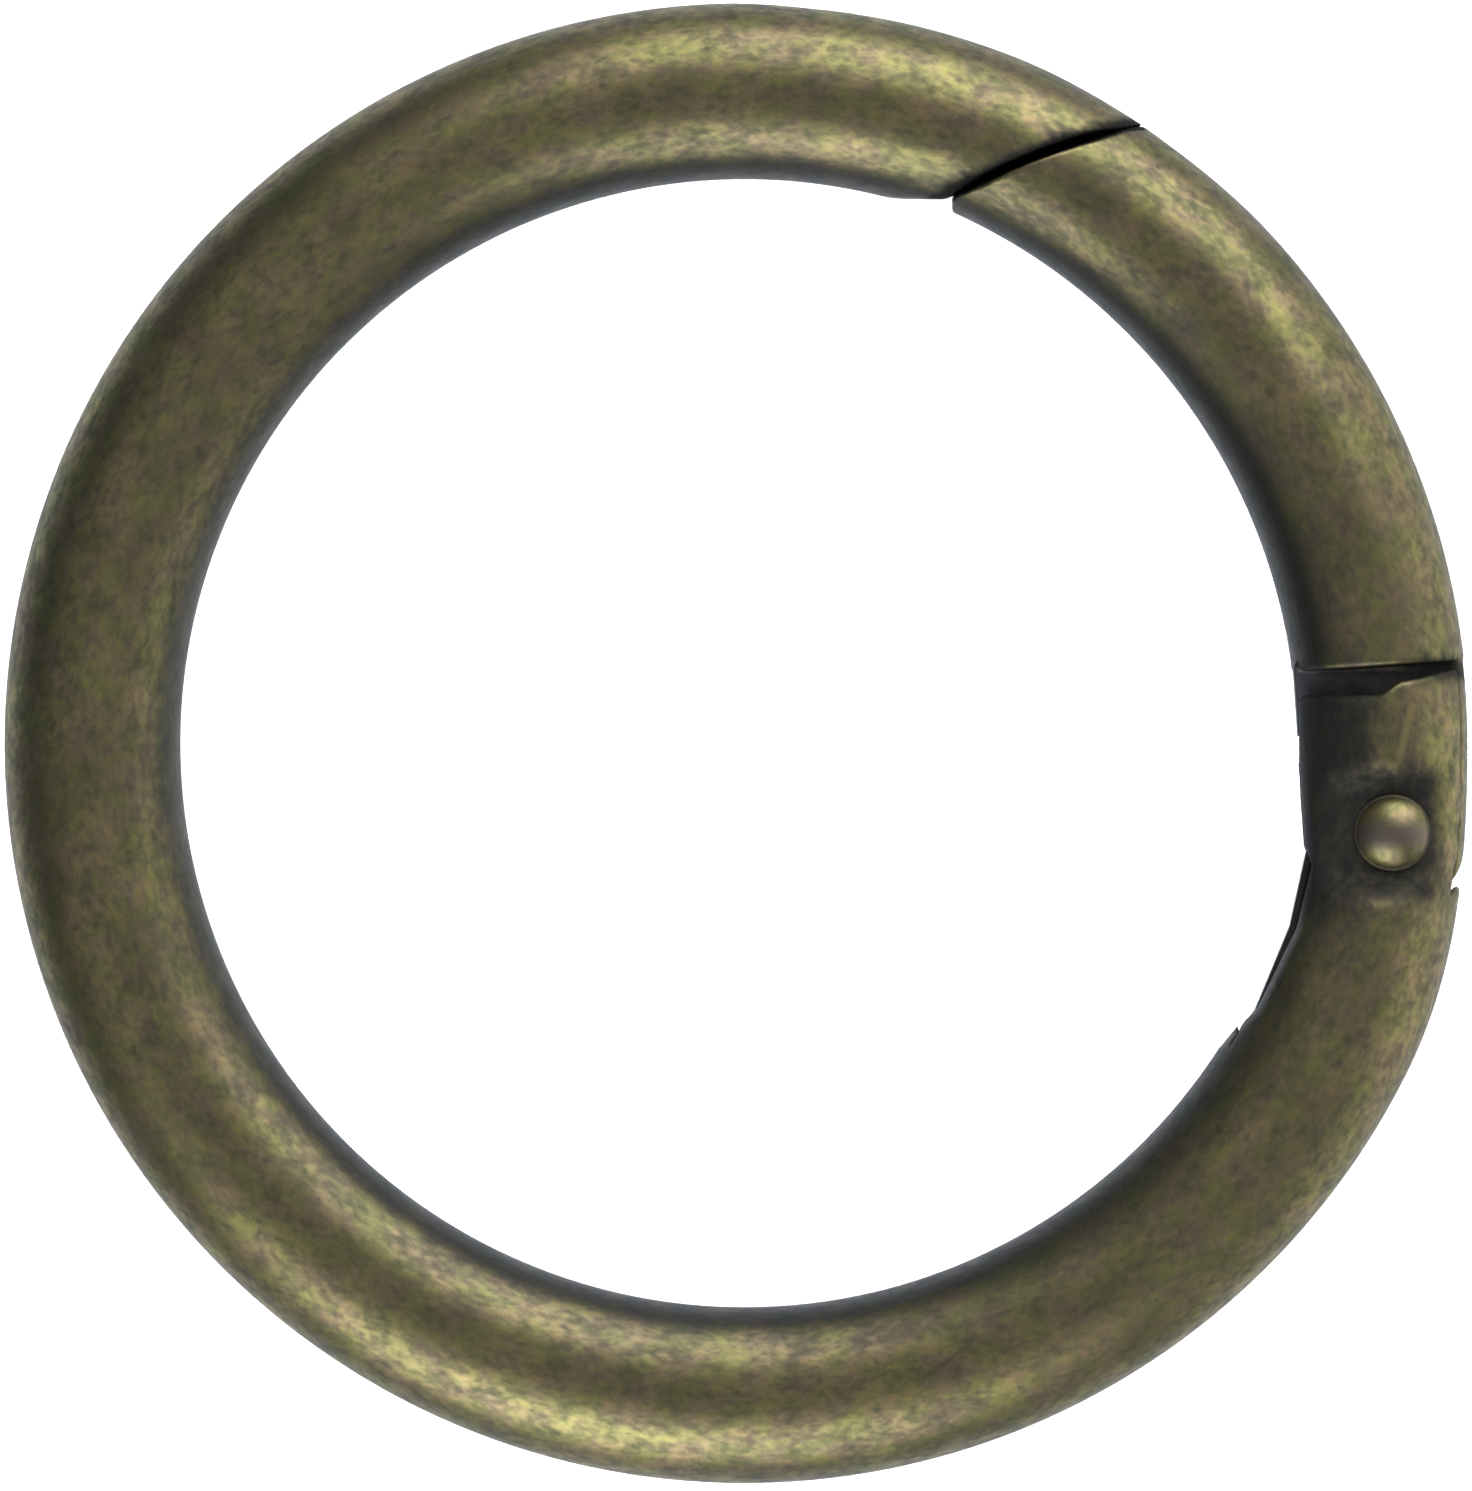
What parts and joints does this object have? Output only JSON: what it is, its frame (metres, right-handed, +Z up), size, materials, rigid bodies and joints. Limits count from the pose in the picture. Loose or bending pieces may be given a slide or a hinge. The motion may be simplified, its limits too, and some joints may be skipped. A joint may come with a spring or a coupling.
{
  "type": "spring gate ring",
  "caption": "Round spring-gate key ring (O-ring carabiner) with a hinged inward-opening gate, pin and hidden leaf spring.",
  "frame": {"origin": "on the surface the ring lies on, under the centre of its round eye", "axes": "the ring lies flat in XY; +X from the eye's centre towards the hinge side, +Y towards the nose end of the ring, +Z up, along the eye's axis and the hinge pin"},
  "size_m": [0.0494, 0.05, 0.006],
  "materials": {
    "plated_body": "satin antique-brass plating with a dark patina in the recesses, on die-cast zinc",
    "plated_gate": "satin antique-brass plating on die-cast zinc",
    "plated_rivet": "smoother antique-brass plating, worn brighter on the domes",
    "spring_steel": "blackened spring steel strip"
  },
  "bodies": {
    "ring": {"ring_body": "plated_body", "rivet": "plated_rivet"},
    "gate_arm": {"gate": "plated_gate"},
    "spring": {"leaf_spring": "spring_steel"}
  },
  "joints": [
    {"name": "gate_hinge", "type": "hinge", "parent": "ring", "child": "gate_arm", "pos_m": [0.02185, -0.00302, 0.00298], "axis": [0, 0, 1], "range_deg": [0, 25], "stiffness_Nm_per_rad": 0.12, "springref_deg": -17.19},
    {"name": "spring_flex", "type": "hinge", "parent": "ring", "child": "spring", "pos_m": [0.01706, -0.00985, 0.00298], "axis": [0, 0, 1], "range_deg": [0, 7]}
  ],
  "couplings": [
    {"joint": "spring_flex", "follows": "gate_hinge", "ratio": 0.28}
  ]
}
